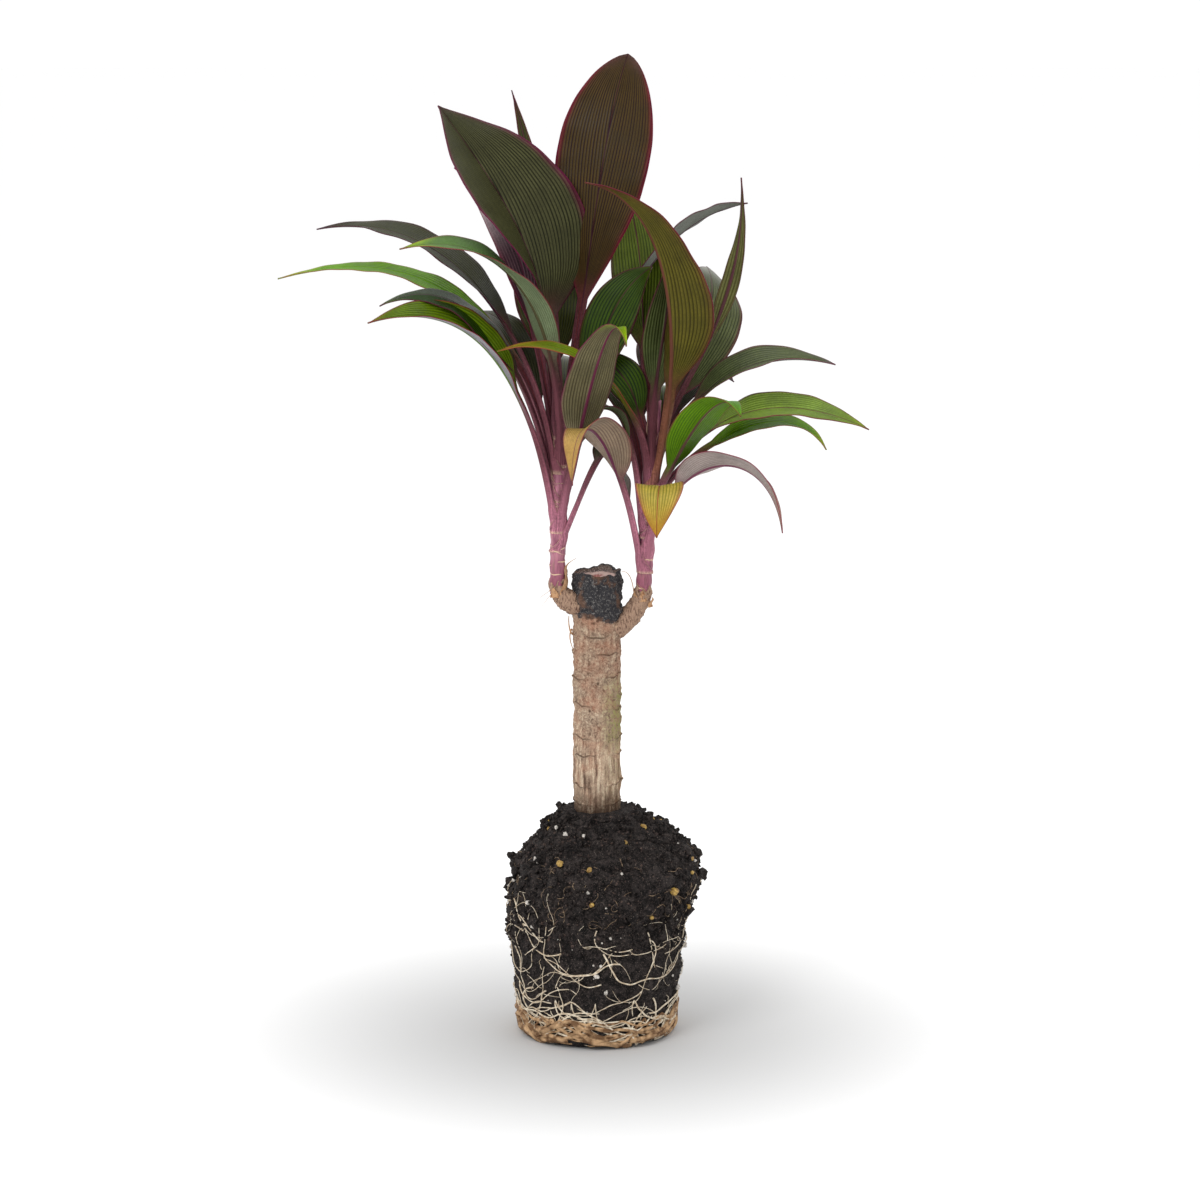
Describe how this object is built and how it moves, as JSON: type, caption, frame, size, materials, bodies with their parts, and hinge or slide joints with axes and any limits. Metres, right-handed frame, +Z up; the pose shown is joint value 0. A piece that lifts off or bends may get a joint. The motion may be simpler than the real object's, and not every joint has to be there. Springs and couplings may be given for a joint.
{
  "type": "ti plant",
  "caption": "Ti plant with a sawn cane on a tapered root ball and two leafy side shoots, lifted out of its pot.",
  "frame": {"origin": "centre of the root ball's flat underside, on the cane's axis", "axes": "+Z up along the cane; +X towards the lower-rooted of the two shoots, the right one seen from the front; -Y towards the front"},
  "size_m": [0.3792, 0.2112, 0.629],
  "materials": {
    "peat": "matte",
    "bark": "matte",
    "stem": "satin",
    "leaf": "satin"
  },
  "bodies": {
    "root": {"cane": "bark", "leaf_left_arching": "leaf", "leaf_left_back": "leaf", "leaf_left_back_left": "leaf", "leaf_left_back_low": "leaf", "leaf_left_back_right": "leaf", "leaf_left_back_tall": "leaf", "leaf_left_behind": "leaf", "leaf_left_far": "leaf", "leaf_left_front": "leaf", "leaf_left_inner_right": "leaf", "leaf_left_low": "leaf", "leaf_left_low_right": "leaf", "leaf_left_mid": "leaf", "leaf_left_tall": "leaf", "leaf_left_tallest": "leaf", "leaf_left_upper": "leaf", "leaf_right_back": "leaf", "leaf_right_back_left": "leaf", "leaf_right_back_low": "leaf", "leaf_right_back_low_left": "leaf", "leaf_right_back_right": "leaf", "leaf_right_broad": "leaf", "leaf_right_crossing": "leaf", "leaf_right_front": "leaf", "leaf_right_front_left": "leaf", "leaf_right_front_right": "leaf", "leaf_right_inner_left": "leaf", "leaf_right_low": "leaf", "leaf_right_low_left": "leaf", "leaf_right_lower": "leaf", "leaf_right_mid": "leaf", "leaf_right_spear": "leaf", "leaf_right_tall": "leaf", "leaf_right_upper": "leaf", "leaf_right_upright": "leaf", "root_ball": "peat", "shoot_left": "stem", "shoot_right": "stem"}
  },
  "joints": []
}
